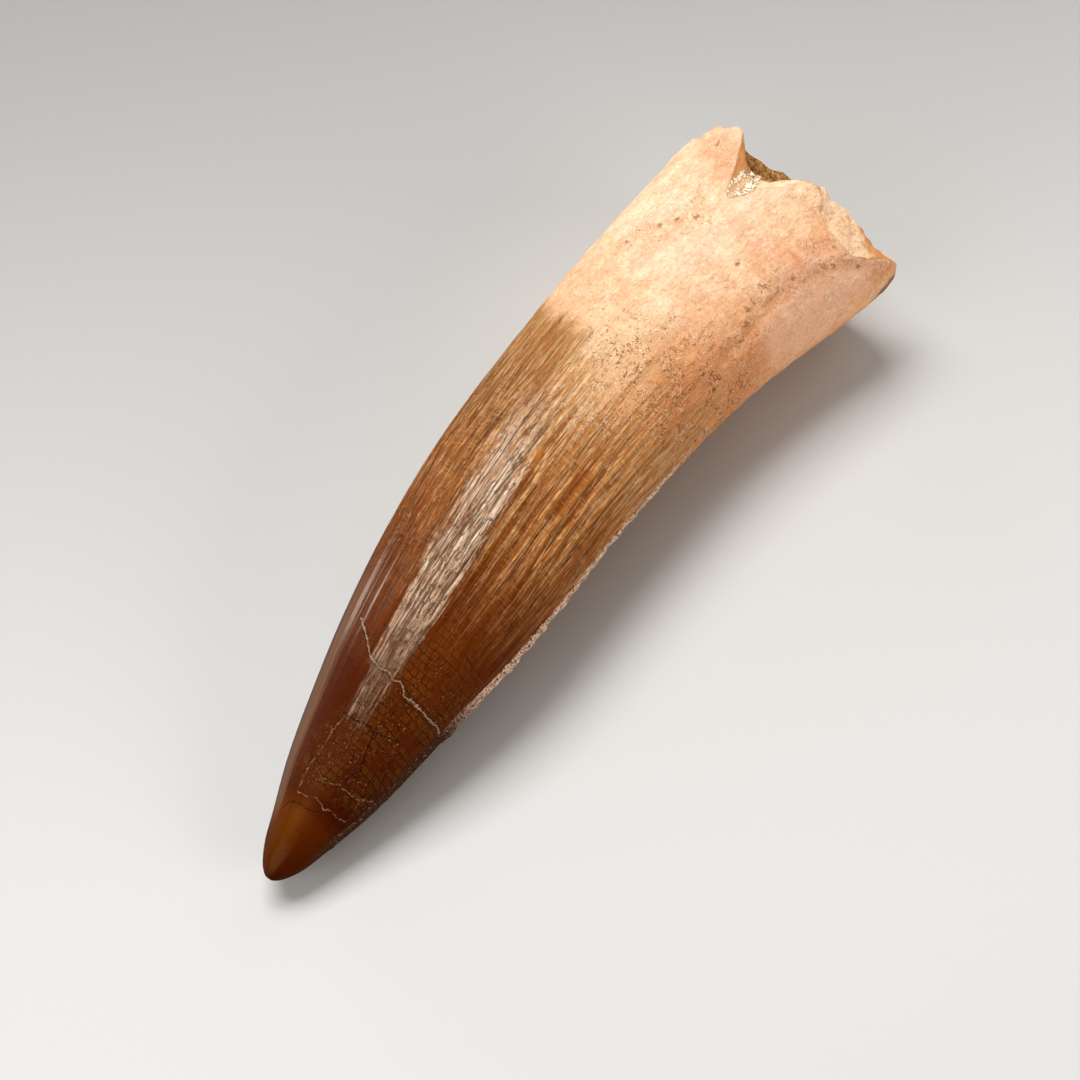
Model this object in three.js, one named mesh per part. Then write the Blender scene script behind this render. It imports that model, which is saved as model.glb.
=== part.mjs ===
// Fossil spinosaurus tooth: a curved, fluted crown on a broken root, grown as one piece.
// It lies on its side. +X runs from the point of the crown to the broken end of the root,
// +Y is the bulging front edge, -Y is the hollow-curved back edge with its keel, +Z is up.
// The origin is under the middle of the tooth, at the level of what it lies on. Millimetres.
import * as THREE from "three";
import { ParametricGeometry } from "three/addons/geometries/ParametricGeometry.js";
import { ImprovedNoise } from "three/addons/math/ImprovedNoise.js";

const { smoothstep, lerp, degToRad } = THREE.MathUtils;

// The body: nine cross-sections, evenly spaced from the point to the end of the root.
const BODY_LENGTH = 82;
const SECTION_CENTRE = [0.7, 1.5, 2.1, 2.6, 3.3, 3.5, 3.3, 2.3, 0.6];
const SECTION_HALF_WIDTH = [1.7, 4.7, 6.9, 8.5, 9.2, 9.8, 10.5, 11.3, 12.1];
const SECTION_FLATNESS = [0.86, 0.84, 0.82, 0.8, 0.79, 0.78, 0.77, 0.76, 0.76];
const SECTION_UNDERSIDE = [1.3, -0.12, 0.6, 1.1, 1.2, 0.8, 0.1, -0.25, -0.25];
const SECTION_SQUARENESS = 2.15; // 2 is an ellipse, more is fuller at the shoulders
const TIP_LENGTH = 3.4; // the blunt rounded point

// Ridges and lumps of the outside, as heights above the smooth body.
const FLUTES = 28;
const FLUTE_HEIGHT = 0.1;
const FLUTED = { from: 9, full: 20, fading: 42, to: 57 };
const KEEL_HEIGHT = 0.4;
const KEEL_SPREAD = 2.6; // degrees
const BACK_KEEL_ANGLE = 180;
const FRONT_KEEL_ANGLE = -16.5;
const FRONT_KEEL_SHARE = 0.6; // the front keel is lower than the back one
const KEELED = { from: 2, full: 8, fading: 50, to: 62 };
const LUMP_HEIGHT = 0.45;
const LUMP_SPACING = 7;
const LUMPY = { from: 46, full: 68 };
const GROOVE_DEPTH = 0.5;
const GROOVE_ANGLE = 146;
const GROOVE_SPREAD = 6; // degrees
const GROOVED = { from: 56, full: 63 };

// The broken end. Each pair is an angle in degrees, from +Y over the top, and a place or a
// height along the tooth. The edge has a double spike at 35 to 53, a notch at 80, a flat
// plate at 88 to 117 and a bitten corner at 123 to 158.
const EDGE_BLEND = 20; // length over which the skin is drawn out or cut back to the edge
const BROKEN_EDGE = [
  [-90, 82.5], [-62, 81.4], [-38, 82.1], [-12, 81.0], [14, 81.6], [27, 81.6], [34, 83.2],
  [41, 82.5], [47, 83.3], [53, 82.8], [61, 80.0], [67, 77.7], [73, 76.1], [79, 75.4],
  [84, 76.4], [88, 77.6], [96, 79.0], [105, 80.8], [113, 81.2], [119, 80.4], [124, 79.1],
  [142, 78.2], [151, 78.1], [158, 79.6], [170, 82.2], [179, 83.2], [190, 83.0], [206, 82.0],
  [232, 81.2], [252, 82.0], [270, 82.5],
];
const BROKEN_CREST = [
  [-90, 0.4], [-30, 0.9], [30, 0.1], [48, -0.4], [61, 1.0], [78, 2.4], [90, 0.6], [114, 0.1],
  [119, 1.0], [124, 2.6], [150, 2.9], [160, 1.6], [170, -0.3], [190, -0.4], [232, 0.9],
  [270, 0.4],
];
const MOUTH_EDGE = [
  [-90, 83.0], [0, 82.8], [30, 81.9], [75, 79.8], [112, 80.0], [150, 81.3], [200, 82.4],
  [270, 83.0],
];
const CREST_PLACE = 1 / 3; // share of the way from the outer edge to the mouth
const CHIP_HEIGHT = 0.5;
const CHIP_SPACING = 2.3;

// The pulp cavity, a flattened blind hole that tapers into the root.
const MOUTH = { y: 2.4, z: 14.3, halfWidth: 4, halfHeight: 1.9 };
const CAVITY_END = { x: 67, y: 3, z: 10.5 };
const CAVITY_TAPER = 0.55;

// Faces: steps around, and steps along the skin, across the broken wall and down the cavity.
const STEPS_AROUND = 112;
const SKIN_STEPS = 32;
const WALL_STEPS = 6;
const CAVITY_STEPS = 6;
const TIP_CROWDING = 1.5; // more than 1 puts more of the steps near the point

const noise = new ImprovedNoise();

// A smooth value along the tooth, through one number for each cross-section.
function along(values) {
  const curve = new THREE.SplineCurve(values.map((v, i) => new THREE.Vector2(i, v)));
  return (x) => curve.getPoint(Math.min(x / BODY_LENGTH, 1)).y;
}

// A value around the tooth, on straight lines between [angle, value] pairs.
function around(pairs) {
  return (angle) => {
    const next = Math.max(1, pairs.findIndex(([a]) => a >= angle));
    const [a0, v0] = pairs[next - 1];
    const [a1, v1] = pairs[next];
    return lerp(v0, v1, (angle - a0) / (a1 - a0));
  };
}

const centreAt = along(SECTION_CENTRE);
const halfWidthAt = along(SECTION_HALF_WIDTH);
const flatnessAt = along(SECTION_FLATNESS);
const undersideAt = along(SECTION_UNDERSIDE);
const edgeAt = around(BROKEN_EDGE);
const crestAt = around(BROKEN_CREST);
const mouthAt = around(MOUTH_EDGE);

// 1 between full and fading, 0 before from and after to.
function window(x, { from, full, fading, to }) {
  const end = to === undefined ? 1 : 1 - smoothstep(x, fading, to);
  return smoothstep(x, from, full) * end;
}

function bell(offset, spread) {
  return Math.exp(-((offset / spread) ** 2));
}

function relief(x, angle) {
  const flutes = FLUTE_HEIGHT * Math.cos(FLUTES * degToRad(angle + 90)) * window(x, FLUTED);
  const keels =
    bell(angle - BACK_KEEL_ANGLE, KEEL_SPREAD) +
    FRONT_KEEL_SHARE * bell(angle - FRONT_KEEL_ANGLE, KEEL_SPREAD);
  const a = degToRad(angle);
  const round = halfWidthAt(x) / LUMP_SPACING;
  const lumps = noise.noise(x / LUMP_SPACING, round * Math.cos(a), round * Math.sin(a));
  const groove = bell(angle - GROOVE_ANGLE, GROOVE_SPREAD);
  return (
    flutes +
    KEEL_HEIGHT * keels * window(x, KEELED) +
    LUMP_HEIGHT * lumps * window(x, LUMPY) -
    GROOVE_DEPTH * groove * window(x, GROOVED)
  );
}

// The radius of a flattened section with full shoulders.
function sectionRadius(a, halfWidth, halfHeight) {
  const n = SECTION_SQUARENESS;
  const wide = Math.abs(Math.cos(a) / halfWidth) ** n;
  const high = Math.abs(Math.sin(a) / halfHeight) ** n;
  return (wide + high) ** (-1 / n);
}

// A point of the skin. What would dip below the ground is worn flat there.
function skin(x, angle, target) {
  const a = degToRad(angle);
  const point = x < TIP_LENGTH ? Math.sqrt(1 - (1 - x / TIP_LENGTH) ** 2) : 1;
  const halfHeight = halfWidthAt(x) * flatnessAt(x);
  const middle = undersideAt(x) + halfHeight;
  if (point === 0) return target.set(x, centreAt(x), middle);
  const radius = sectionRadius(a, halfWidthAt(x) * point, halfHeight * point) + relief(x, angle);
  const z = Math.max(0, middle + radius * Math.sin(a));
  return target.set(x, centreAt(x) + radius * Math.cos(a), z);
}

// The skin from the point to the broken edge, for s from 0 to 1.
function skinAlong(s, angle, target) {
  const even = BODY_LENGTH * s ** TIP_CROWDING;
  const drawn = smoothstep(even, BODY_LENGTH - EDGE_BLEND, BODY_LENGTH);
  return skin(even + drawn * (edgeAt(angle) - BODY_LENGTH), angle, target);
}

// The pulp cavity from its mouth to its end, for s from 0 to 1.
function cavityAlong(s, angle, target) {
  const a = degToRad(angle);
  const size = (1 - s) ** CAVITY_TAPER;
  return target.set(
    lerp(mouthAt(angle), CAVITY_END.x, s),
    lerp(MOUTH.y, CAVITY_END.y, s) + size * MOUTH.halfWidth * Math.cos(a),
    lerp(MOUTH.z, CAVITY_END.z, s) + size * MOUTH.halfHeight * Math.sin(a),
  );
}

// The broken wall from the outer edge to the mouth of the cavity, for s from 0 to 1.
const outer = new THREE.Vector3();
const inner = new THREE.Vector3();
function wallAcross(s, angle, target) {
  skinAlong(1, angle, outer);
  cavityAlong(0, angle, inner);
  target.lerpVectors(outer, inner, s);
  const crest = s < CREST_PLACE ? s / CREST_PLACE : (1 - s) / (1 - CREST_PLACE);
  const { x, y, z } = target;
  const chips = noise.noise(x / CHIP_SPACING, y / CHIP_SPACING, z / CHIP_SPACING);
  target.x += crest * (crestAt(angle) + CHIP_HEIGHT * chips);
  return target;
}

// The whole surface: u goes around the tooth from underneath, v from the point of the crown
// over the broken end into the cavity.
function surface(u, v, target) {
  const angle = 360 * u - 90;
  const row = Math.round(v * (SKIN_STEPS + WALL_STEPS + CAVITY_STEPS));
  if (row <= SKIN_STEPS) return skinAlong(row / SKIN_STEPS, angle, target);
  const past = row - SKIN_STEPS;
  if (past < WALL_STEPS) return wallAcross(past / WALL_STEPS, angle, target);
  return cavityAlong((past - WALL_STEPS) / CAVITY_STEPS, angle, target);
}

function makeTooth() {
  const rows = SKIN_STEPS + WALL_STEPS + CAVITY_STEPS;
  const geometry = new ParametricGeometry(surface, STEPS_AROUND, rows);
  geometry.computeBoundingBox();
  const middle = geometry.boundingBox.getCenter(new THREE.Vector3());
  geometry.translate(-middle.x, -middle.y, 0);
  const enamel = new THREE.MeshStandardMaterial({ color: 0xa87643, roughness: 0.55, metalness: 0 });
  const mesh = new THREE.Mesh(geometry, enamel);
  mesh.name = "tooth";
  return mesh;
}

const fossil = new THREE.Group();
fossil.add(makeTooth());

export default fossil;
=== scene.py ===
import math

import bpy
import numpy as np
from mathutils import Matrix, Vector


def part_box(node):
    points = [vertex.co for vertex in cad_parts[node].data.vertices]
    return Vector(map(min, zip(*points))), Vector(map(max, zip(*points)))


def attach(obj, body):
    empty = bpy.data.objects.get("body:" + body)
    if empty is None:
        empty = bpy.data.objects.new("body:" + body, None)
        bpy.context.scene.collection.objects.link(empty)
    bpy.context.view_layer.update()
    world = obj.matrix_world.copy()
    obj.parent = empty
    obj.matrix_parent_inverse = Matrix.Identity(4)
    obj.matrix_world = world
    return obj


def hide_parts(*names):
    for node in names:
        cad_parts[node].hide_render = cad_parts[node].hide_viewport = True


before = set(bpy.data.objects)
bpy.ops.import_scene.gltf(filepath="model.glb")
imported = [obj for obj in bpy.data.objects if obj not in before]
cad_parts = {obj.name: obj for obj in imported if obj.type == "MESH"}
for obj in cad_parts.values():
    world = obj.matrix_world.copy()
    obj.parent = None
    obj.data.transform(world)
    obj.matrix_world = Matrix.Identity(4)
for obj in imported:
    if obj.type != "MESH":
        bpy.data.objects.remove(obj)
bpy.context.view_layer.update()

# The tooth: one mineralised piece, a curved enamel crown on a broken dentine root.
# It grew whole, so it is one skin drawn through nine cross-sections, in millimetres from the
# point of the crown (x) and round it in degrees from the front edge over the top (angle).
MM = 0.001
BODY_LENGTH = 82
SECTION_CENTRE = [0.7, 1.5, 2.1, 2.6, 3.3, 3.5, 3.3, 2.3, 0.6]
SECTION_HALF_WIDTH = [1.7, 4.7, 6.9, 8.5, 9.2, 9.8, 10.5, 11.3, 12.1]
SECTION_FLATNESS = [0.86, 0.84, 0.82, 0.8, 0.79, 0.78, 0.77, 0.76, 0.76]
SECTION_UNDERSIDE = [1.3, -0.12, 0.6, 1.1, 1.2, 0.8, 0.1, -0.25, -0.25]
SECTION_SQUARENESS = 2.15
TIP_LENGTH = 3.4
ORIGIN_ACROSS = 1.19  # the frame's origin, from the line that the sections are measured from

STEPS_AROUND = 320
SKIN_STEPS = 250
WALL_STEPS = 32
CAVITY_STEPS = 17
TIP_CROWDING = 1.25
GRAIN_RADIUS = 9  # the round that the grain's coordinates are wrapped on


def along(values, x):
    """A smooth value at x through one number for each evenly spaced cross-section: the cubic
    between two of them whose slope at each is half the step between its neighbours."""
    values = np.asarray(values, float)
    last = len(values) - 1
    place = np.clip(x / BODY_LENGTH, 0, 1) * last
    i = np.minimum(place.astype(int), last - 1)
    t = place - i
    before, here, there = values[np.maximum(i - 1, 0)], values[i], values[i + 1]
    after = values[np.minimum(i + 2, last)]
    leaving, arriving = (there - before) / 2, (after - here) / 2
    cubic = 2 * here - 2 * there + leaving + arriving
    square = 3 * there - 3 * here - 2 * leaving - arriving
    return ((cubic * t + square) * t + leaving) * t + here


def between(pairs, at):
    """A value on straight lines between [place, value] pairs."""
    places, values = zip(*pairs)
    return np.interp(at, places, values)


def rise(x, low, high):
    """0 up to low, 1 from high, and 3t^2 - 2t^3 between them."""
    t = np.clip((x - low) / (high - low), 0, 1)
    return t * t * (3 - 2 * t)


def bell(offset, spread):
    """A smooth bump 1 high, that falls to a third at one spread to either side."""
    return np.exp(-((offset / spread) ** 2))


LATTICE = 48


def mottle(points, spacing, seed):
    """Smooth random values from -1 to 1: one at each corner of a cubic lattice, and inside a
    cell the mean of its eight corners, weighted by 3t^2 - 2t^3 along each axis."""
    corners = np.random.default_rng(seed).uniform(-1, 1, (LATTICE,) * 3)
    places = points / spacing
    cell = np.floor(places).astype(int)
    t = places - cell
    t = t * t * (3 - 2 * t)
    total = 0
    for corner in np.ndindex(2, 2, 2):
        share = np.prod(np.where(corner, t, 1 - t), axis=-1)
        i, j, k = np.moveaxis((cell + corner) % LATTICE, -1, 0)
        total = total + share * corners[i, j, k]
    return total


def section_radius(turn, half_width, half_height):
    """The radius of a flattened section: the n-th powers of its shares of the half width and
    the half height add up to 1, with n a little over an ellipse's 2."""
    wide = np.abs(np.cos(turn) / half_width) ** SECTION_SQUARENESS
    high = np.abs(np.sin(turn) / half_height) ** SECTION_SQUARENESS
    return (wide + high) ** (-1 / SECTION_SQUARENESS)


def grain_place(x, angle):
    """Coordinates that follow the grain: x along the tooth, and the angle as a point on a
    circle of one radius, so that lines along the tooth stay together as it narrows."""
    turn = np.radians(angle)
    x, turn = np.broadcast_arrays(x, turn)
    return np.stack([x, GRAIN_RADIUS * np.cos(turn), GRAIN_RADIUS * np.sin(turn)], -1)


# The outside's relief. The crown has flutes, which fade on the smooth cap of the point, and a
# keel of small grains along its back edge and a fainter one along the front. The root has low
# lumps, a rough groove and a worn shelf below it. Each pair of places is where a thing begins
# or fades, along the tooth.
FLUTES = 40
FLUTE_HEIGHT = 0.17
FLUTE_SHARPNESS = 2.2
FLUTES_BEGIN, FLUTES_DEEPEN, FLUTES_FADE = (13, 24), (24, 40), (46, 60)
KEEL_HEIGHT = 0.42
KEEL_SPREAD = 2.6
KEEL_BEGINS, KEEL_RISES, KEEL_FADES = (2, 6), (17.8, 18.6), (50, 62)
BACK_KEEL_ANGLE = 180
FRONT_KEEL_ANGLE = -16.5
FRONT_KEEL_SHARE = 0.6
FRONT_KEEL_BEGINS = (2, 8)
LUMP_HEIGHT = 0.4
ROOT_BEGINS = (46, 66)
GROOVE_ANGLE = [[50, 156], [58, 150], [66, 145], [74, 145], [80, 158]]
GROOVE_DEPTH = 0.20
GROOVE_SPREAD = 4
GROOVE_BEGINS = (54, 62)
SHELF_DEPTH = 0.10
SHELF_BEGINS = (58, 64)
SHELF_FADING_ANGLE = (160, 184)


def flutes(x, angle):
    """From 0 in the grooves to about 1 on the ridges: a raised cosine round the tooth, to a
    power, whose phase and height wander slowly along the grain."""
    grain = grain_place(x, angle)
    wander = mottle(grain * [0.12, 1, 1], 3.1, 3)
    crest = (0.5 + 0.5 * np.cos(FLUTES * np.radians(angle) + 2.4 * wander)) ** FLUTE_SHARPNESS
    return crest * (0.62 + 0.5 * mottle(grain * [0.1, 1, 1], 1.9, 5))


def relief(x, angle):
    """Heights above the smooth body: the flutes where the crown has them; the keels as bells
    in the angle; lumps as mottles of three sizes; the groove and the shelf below it as windows
    in x and the angle, broken up by a mottle."""
    grain = grain_place(x, angle)
    fluted = rise(x, *FLUTES_BEGIN) * (1 - rise(x, *FLUTES_FADE))
    fluted = fluted * (0.45 + 0.55 * rise(x, *FLUTES_DEEPEN))
    ridges = FLUTE_HEIGHT * flutes(x, angle) * fluted

    grains = 1 + 0.5 * mottle(grain, 0.55, 11)
    back = bell(angle - BACK_KEEL_ANGLE, KEEL_SPREAD) * grains
    back = back * (0.45 * rise(x, *KEEL_BEGINS) + 0.55 * rise(x, *KEEL_RISES))
    front = FRONT_KEEL_SHARE * bell(angle - FRONT_KEEL_ANGLE, KEEL_SPREAD)
    front = front * rise(x, *FRONT_KEEL_BEGINS)
    keels = KEEL_HEIGHT * (back + front) * (1 - rise(x, *KEEL_FADES))

    on_root = rise(x, *ROOT_BEGINS)
    lumps = LUMP_HEIGHT * on_root * mottle(grain, 6.5, 21)
    lumps = lumps + 0.15 * on_root * mottle(grain * [0.6, 1, 1], 2.1, 22)
    lumps = lumps + 0.08 * rise(x, 50, 58) * mottle(grain * [0.8, 1, 1], 0.85, 23)

    broken_up = 0.6 + 0.8 * mottle(grain, 1.7, 26)
    off_groove = angle - between(GROOVE_ANGLE, x) + 6 * mottle(grain, 3, 24)
    groove = GROOVE_DEPTH * bell(off_groove, GROOVE_SPREAD) * rise(x, *GROOVE_BEGINS) * broken_up
    shelf = SHELF_DEPTH * rise(off_groove, -4, 3) * (1 - rise(angle, *SHELF_FADING_ANGLE))
    shelf = shelf * rise(x, *SHELF_BEGINS)
    swell = 0.05 * (1 - on_root) * rise(x, 4, 10) * mottle(grain, 4, 25)
    return ridges + keels + lumps + swell - groove - shelf


def skin(x, angle):
    """A point of the outside: the section's radius plus the relief, round the section's centre.
    What would dip below the ground is worn flat there."""
    turn = np.radians(angle)
    point = np.sqrt(1 - np.clip(1 - x / TIP_LENGTH, 0, 1) ** 2)
    half_width = along(SECTION_HALF_WIDTH, x)
    half_height = half_width * along(SECTION_FLATNESS, x)
    middle = along(SECTION_UNDERSIDE, x) + half_height
    shrunk = np.maximum(point, 1e-6)
    radius = section_radius(turn, half_width * shrunk, half_height * shrunk)
    radius = radius + relief(x, angle) * point
    y = along(SECTION_CENTRE, x) + radius * np.cos(turn)
    return np.stack([x + 0 * y, y, np.maximum(0, middle + radius * np.sin(turn))], -1)


# The broken end of the root: an outer edge with a double spike, a notch, a flat plate and a
# bitten corner, a rough wall of dentine that stands up to a crest, and the pulp cavity, a
# flattened blind hole half filled with brown sediment.
EDGE_BLEND = 20
JAG_BLEND = 2
BROKEN_EDGE = [
    [-90, 82.5], [-62, 81.4], [-38, 82.1], [-12, 81.0], [14, 81.6], [27, 81.6], [34, 83.2],
    [41, 82.5], [47, 83.3], [53, 82.8], [61, 80.0], [67, 77.7], [73, 76.1], [79, 75.4],
    [84, 76.4], [88, 77.6], [96, 79.0], [105, 80.8], [113, 81.2], [119, 80.4], [124, 79.1],
    [142, 78.2], [151, 78.1], [158, 79.6], [170, 82.2], [179, 83.2], [190, 83.0], [206, 82.0],
    [232, 81.2], [252, 82.0], [270, 82.5],
]
BROKEN_CREST = [
    [-90, 0.4], [-30, 0.9], [30, 0.1], [48, -0.4], [61, 0.7], [78, 1.5], [90, 0.1],
    [114, 0.1], [119, 1.0], [124, 2.6], [150, 2.9], [160, 1.6], [170, -0.3], [190, -0.4],
    [232, 0.9], [270, 0.4],
]
MOUTH_EDGE = [
    [-90, 84.0], [0, 83.0], [30, 81.3], [75, 79.8], [112, 80.0], [150, 81.3], [200, 82.6],
    [270, 84.0],
]
CREST_PLACE = 1 / 3  # share of the way from the outer edge to the mouth
LAYERS, LAYER_HEIGHT = 9, 0.05
MOUTH_Y, MOUTH_Z = 2.4, 14.3
MOUTH_HALF_WIDTH, MOUTH_HALF_HEIGHT = 4, 1.9
CAVITY_END = [67, 3, 10.5]
CAVITY_TAPER = 0.55


def skin_rows(angle):
    """The skin from the first ring after the point to the broken edge: the last 20 mm are
    drawn out or cut back to the edge, and the last 2 mm take its small jags too."""
    s = np.arange(1, SKIN_STEPS + 1)[:, None] / SKIN_STEPS
    even = BODY_LENGTH * s**TIP_CROWDING
    ring = grain_place(0, angle)
    jags = 0.3 * mottle(ring, 1.1, 31) + 0.14 * mottle(ring, 0.45, 32)
    x = even + rise(even, BODY_LENGTH - EDGE_BLEND, BODY_LENGTH) * (
        between(BROKEN_EDGE, angle) - BODY_LENGTH
    )
    x = x + rise(even, BODY_LENGTH - JAG_BLEND, BODY_LENGTH) * jags
    return x, skin(x, angle)


def cavity_rows(angle, s):
    """The pulp cavity from its mouth to its end: an ellipse that shrinks as a power of what is
    left of the way, with its centre on a straight line."""
    turn = np.radians(angle)
    size = (1 - s) ** CAVITY_TAPER
    x = between(MOUTH_EDGE, angle) * (1 - s) + CAVITY_END[0] * s
    lumps = 1 + 0.14 * mottle(grain_place(x * 1.5, angle), 3, 41)
    y = MOUTH_Y * (1 - s) + CAVITY_END[1] * s + size * lumps * MOUTH_HALF_WIDTH * np.cos(turn)
    z = MOUTH_Z * (1 - s) + CAVITY_END[2] * s + size * lumps * MOUTH_HALF_HEIGHT * np.sin(turn)
    return np.stack([x + 0 * y, y, z], -1)


def wall_rows(angle, outer, mouth):
    """The broken wall: straight from the outer edge to the mouth, plus a crest a third of the
    way in, chips of three sizes and fine steps where the dentine broke along its layers."""
    s = np.arange(1, WALL_STEPS)[:, None] / WALL_STEPS
    flat = outer + (mouth - outer) * s[..., None]
    crest = np.minimum(s / CREST_PLACE, (1 - s) / (1 - CREST_PLACE))
    chips = 0.4 * mottle(flat, 2.3, 51) + 0.18 * mottle(flat, 0.95, 52)
    chips = chips + 0.08 * mottle(flat, 0.5, 53)
    layers = LAYER_HEIGHT * np.sin(2 * np.pi * (LAYERS * s + 0.8 * mottle(flat, 3, 54)))
    inside = rise(s, 0, 0.12) * rise(1 - s, 0, 0.15)
    x = flat[..., 0] + crest * between(BROKEN_CREST, angle) + inside * (chips + layers)
    return s, np.concatenate([x[..., None], flat[..., 1:]], -1)


angle = np.arange(STEPS_AROUND) * 360 / STEPS_AROUND - 90
skin_x, skin_points = skin_rows(angle)
cavity_share = np.arange(CAVITY_STEPS)[:, None] / CAVITY_STEPS
cavity_points = cavity_rows(angle, cavity_share)
wall_share, wall_points = wall_rows(angle, skin_points[-1], cavity_points[0])
tip_height = SECTION_UNDERSIDE[0] + SECTION_HALF_WIDTH[0] * SECTION_FLATNESS[0]
rings = np.concatenate([skin_points, wall_points, cavity_points])
places = np.concatenate(
    [[[0, SECTION_CENTRE[0], tip_height]], rings.reshape(-1, 3), [CAVITY_END]]
)
box_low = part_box("tooth")[0]
places = (places - [0, ORIGIN_ACROSS, 0]) * MM + [box_low.x, 0, 0]


def mesh_faces(ring_count):
    """Faces of a closed skin: a fan at the first pole, quads between each ring and the next,
    and a fan at the last pole, all turned outwards."""
    here = np.arange(STEPS_AROUND)
    beside = (here + 1) % STEPS_AROUND
    start = 1 + np.arange(ring_count - 1)[:, None] * STEPS_AROUND
    after = start + STEPS_AROUND
    quads = np.stack([start + here, start + beside, after + beside, after + here], -1)
    quads = quads.reshape(-1, 4)
    end = 1 + (ring_count - 1) * STEPS_AROUND
    last = end + STEPS_AROUND
    first_fan = np.stack([0 * here, 1 + beside, 1 + here], -1)
    last_fan = np.stack([end + here, end + beside, last + 0 * here], -1)
    return first_fan, quads, last_fan


tooth_mesh = bpy.data.meshes.new("fossil_tooth")
first_fan, quads, last_fan = mesh_faces(len(rings))
faces = first_fan.tolist() + quads.tolist() + last_fan.tolist()
tooth_mesh.from_pydata(places.tolist(), [], faces)
tooth_mesh.shade_smooth()


# What the colours need to know of each point: its place along the grain, how far it is inside
# the enamel and the pale streak, its distance from the keel, its share of the root's pitted,
# stained, chalky and crystal patches and of the painted shade under the broken rim, and its
# distance from each pit and crack that can be seen from above.
def with_poles(ring_values, at_point, at_end):
    """One value for each vertex, from those of the rings and the two poles."""
    flat = np.broadcast_to(ring_values, rings.shape[:2] + np.shape(at_point)).reshape(
        (-1,) + np.shape(at_point)
    )
    return np.concatenate([[at_point], flat, [at_end]])


def store(name, values, kind="FLOAT"):
    """Puts one number or vector for each vertex into the mesh, under a name."""
    field = "value" if kind == "FLOAT" else "vector"
    made = tooth_mesh.attributes.new(name, kind, "POINT")
    made.data.foreach_set(field, np.ascontiguousarray(values, np.float32).ravel())


ring_x = np.concatenate([skin_x, np.repeat(skin_x[-1:], len(rings) - SKIN_STEPS, 0)])
ring_angle = np.broadcast_to(angle, ring_x.shape)
vertex_x = with_poles(ring_x, 0.0, BODY_LENGTH)
vertex_angle = with_poles(ring_angle, 90.0, 90.0)
vertex_half_width = along(SECTION_HALF_WIDTH, vertex_x)
vertex_half_height = vertex_half_width * along(SECTION_FLATNESS, vertex_x)
vertex_radius = section_radius(np.radians(vertex_angle), vertex_half_width, vertex_half_height)
mm_per_degree = vertex_radius * math.pi / 180

MARGIN_AT_EDGES, MARGIN_RISE = 59.5, 5.0
enamel_margin = MARGIN_AT_EDGES - MARGIN_RISE * np.sin(np.radians(vertex_angle)) ** 2
store("grain", grain_place(vertex_x, vertex_angle), "FLOAT_VECTOR")
store("crown", enamel_margin - vertex_x)
store("ridge", flutes(vertex_x, vertex_angle))

wall_s = np.concatenate([np.zeros((SKIN_STEPS, 1)), wall_share, np.ones((CAVITY_STEPS, 1))])
store("wall", with_poles(wall_s, 0.0, 1.0))
AT_MOUTH = 0.06  # so that the mouth's own ring counts as cavity
cavity_s = np.concatenate([np.zeros((SKIN_STEPS + WALL_STEPS - 1, 1)), cavity_share + AT_MOUTH])
store("cavity", with_poles(cavity_s, 0.0, 1.0))

STREAK_START = 14.5
STREAK_LEFT = [[14, 80], [16.4, 81], [19, 75], [22, 74], [28, 71], [37, 68], [47, 63]]
STREAK_RIGHT = [[14, 103], [16.6, 98], [19, 102], [28, 104], [36, 102], [41, 101], [48, 95]]
in_streak = np.minimum(
    vertex_angle - between(STREAK_LEFT, vertex_x), between(STREAK_RIGHT, vertex_x) - vertex_angle
)
in_streak = np.minimum(in_streak * mm_per_degree, vertex_x - STREAK_START)
store("streak", np.clip(in_streak, -3, 3))
KEEL_LINE = [[3, 178], [18, 176.5], [26, 178.5], [55, 180]]
store("keel", np.abs(vertex_angle - between(KEEL_LINE, vertex_x)) * mm_per_degree)


def patches(spots):
    """The sum of soft round patches, each given by x, angle, radius in mm and strength."""
    total = 0
    for x, spot_angle, radius, strength in spots:
        away = np.hypot(vertex_x - x, (vertex_angle - spot_angle) * mm_per_degree)
        total = total + strength * bell(away, radius)
    return total


PITTED = [
    [66, 47, 2.2, 0.7], [69, 57, 2.5, 0.9], [72, 72, 2.4, 0.8], [74, 62, 1.6, 0.7],
    [61, 34, 2.6, 0.8], [66, 146, 2.0, 1.0], [69, 138, 1.8, 0.8], [71, 128, 2.0, 0.6],
    [73, 143, 2.6, 0.9], [77, 149, 2.2, 1.0], [60, 150, 2.5, 0.6], [57, 122, 4.5, 0.9],
    [54, 100, 3.0, 0.7], [80, 168, 2.4, 0.9], [81, 45, 1.6, 0.8], [81.5, 178, 2.0, 0.9],
]
STAINED = [
    [62, 172, 3.5, 0.7], [75, 133, 2.2, 0.8], [71, 150, 3.5, 0.4], [57, 135, 4.0, 0.7],
    [53, 160, 4.0, 0.8], [80.5, 42, 2.2, 0.9], [78.5, 64, 2.4, 1.0], [64, 25, 4.0, 0.4],
    [74, 205, 6.0, 0.6], [66, 240, 6.0, 0.5], [79.5, 57, 1.2, 0.8], [67, 143, 2.0, 0.5],
    [80.5, 168, 1.6, 0.6],
]
CHALKY = [[74, 156, 4.5, 1.0], [79, 160, 3.0, 0.8], [69, 166, 4.0, 0.7], [72, 58, 3.0, 0.4]]
CRYSTALS = [[76.6, 74, 1.2, 0.75], [76.4, 82, 1.1, 0.75]]
store("pitted", patches(PITTED))
store("stained", patches(STAINED))
store("chalky", patches(CHALKY))
store("crystals", patches(CRYSTALS))
# Painted shade under the broken rim, at the bitten corner.
UNDERSIDE_SHADE = [[82.4, 187, 1.5, 1.0], [81.0, 193, 2.0, 1.0]]
store("dirt", patches(UNDERSIDE_SHADE))

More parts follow.
